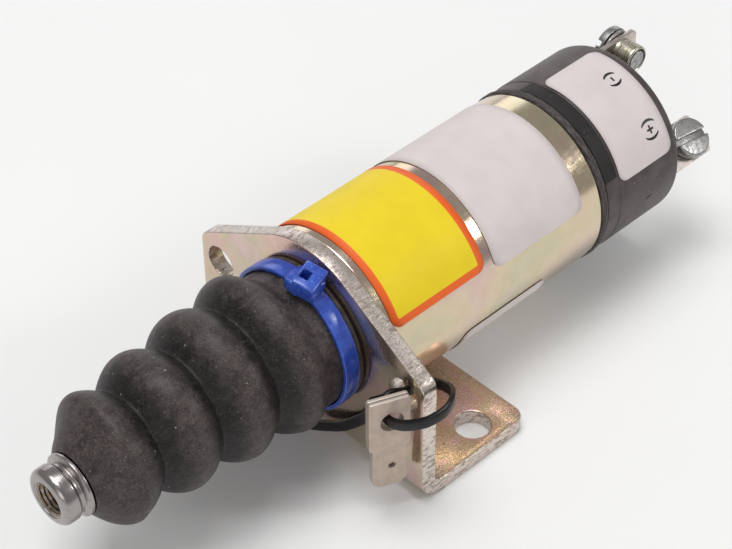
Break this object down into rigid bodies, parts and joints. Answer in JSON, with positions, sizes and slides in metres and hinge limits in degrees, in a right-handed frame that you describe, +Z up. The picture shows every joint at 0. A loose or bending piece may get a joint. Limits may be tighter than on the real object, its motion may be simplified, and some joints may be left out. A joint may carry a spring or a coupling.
{
  "type": "fuel shutoff solenoid",
  "caption": "Round pull solenoid on a folded mounting bracket, with a bellows boot over its plunger and screw terminals on its end cap, that works an engine's fuel shutoff lever",
  "frame": {"origin": "On the underside of the bracket's foot, midway between its bolt holes", "axes": "+X runs along the solenoid's axis from the plunger's tip to the terminals, +Z points up from the foot, and +Y completes a right-handed frame, so it is on the left when the terminals are faced from the tip"},
  "size_m": [0.1621, 0.0667, 0.0458],
  "materials": {
    "yellow_zinc_plating": "zinc plated, yellow chromate with a pink and olive sheen, satin",
    "iron": "turned soft iron, satin",
    "bright_nickel": "turned and nickel plated, bright",
    "brass": "drawn brass, satin",
    "natural_nylon": "moulded, off-white, matt",
    "copper_wire": "enamelled copper",
    "spring_steel": "drawn wire",
    "boot_rubber": "moulded, matt black, dusty",
    "blue_nylon": "moulded, blue, satin",
    "gasket_rubber": "moulded, black",
    "black_moulding": "moulded, black, satin",
    "tinned_metal": "tinned, dull bright",
    "yellow_label": "yellow printed film with an orange border",
    "white_label": "off-white printed film",
    "black_nylon": "moulded, black, satin"
  },
  "bodies": {
    "housing": {"mounting_bracket": "yellow_zinc_plating", "housing_can": "yellow_zinc_plating", "front_pole": "iron", "boot_collar": "iron", "rear_pole": "iron", "guide_tube": "brass", "bobbin": "natural_nylon", "pull_winding": "copper_wire", "hold_winding": "copper_wire", "return_spring": "spring_steel", "contact_spring": "spring_steel", "boot": "boot_rubber", "boot_tie": "blue_nylon", "switch_board": "natural_nylon", "fixed_contact_1": "brass", "fixed_contact_2": "brass", "cap_gasket": "gasket_rubber", "end_cap": "black_moulding", "terminal_negative": "tinned_metal", "terminal_positive": "tinned_metal", "terminal_screw_negative": "tinned_metal", "terminal_screw_positive": "tinned_metal", "lock_washer_negative": "tinned_metal", "lock_washer_positive": "tinned_metal", "front_label": "yellow_label", "rear_label": "white_label", "under_label": "white_label", "polarity_label": "white_label", "spade_adapter_outer": "tinned_metal", "spade_adapter_inner": "tinned_metal", "adapter_tie": "black_nylon"},
    "plunger": {"plunger_core": "iron", "plunger_tip": "bright_nickel"},
    "contact_carrier": {"push_pin": "natural_nylon", "contact_bridge": "copper_wire"}
  },
  "joints": [
    {"name": "plunger_slide", "type": "slide", "parent": "housing", "child": "plunger", "axis": [1, 0, 0], "range_m": [0, 0.0254], "stiffness_N_per_m": 220, "springref_m": -0.018, "deforming": ["boot", "return_spring"]},
    {"name": "contact_slide", "type": "slide", "parent": "housing", "child": "contact_carrier", "axis": [1, 0, 0], "range_m": [0, 0.0015], "deforming": ["contact_spring"]}
  ],
  "couplings": [
    {"joint": "contact_slide", "follows": "plunger_slide", "ratio": 0.059}
  ]
}
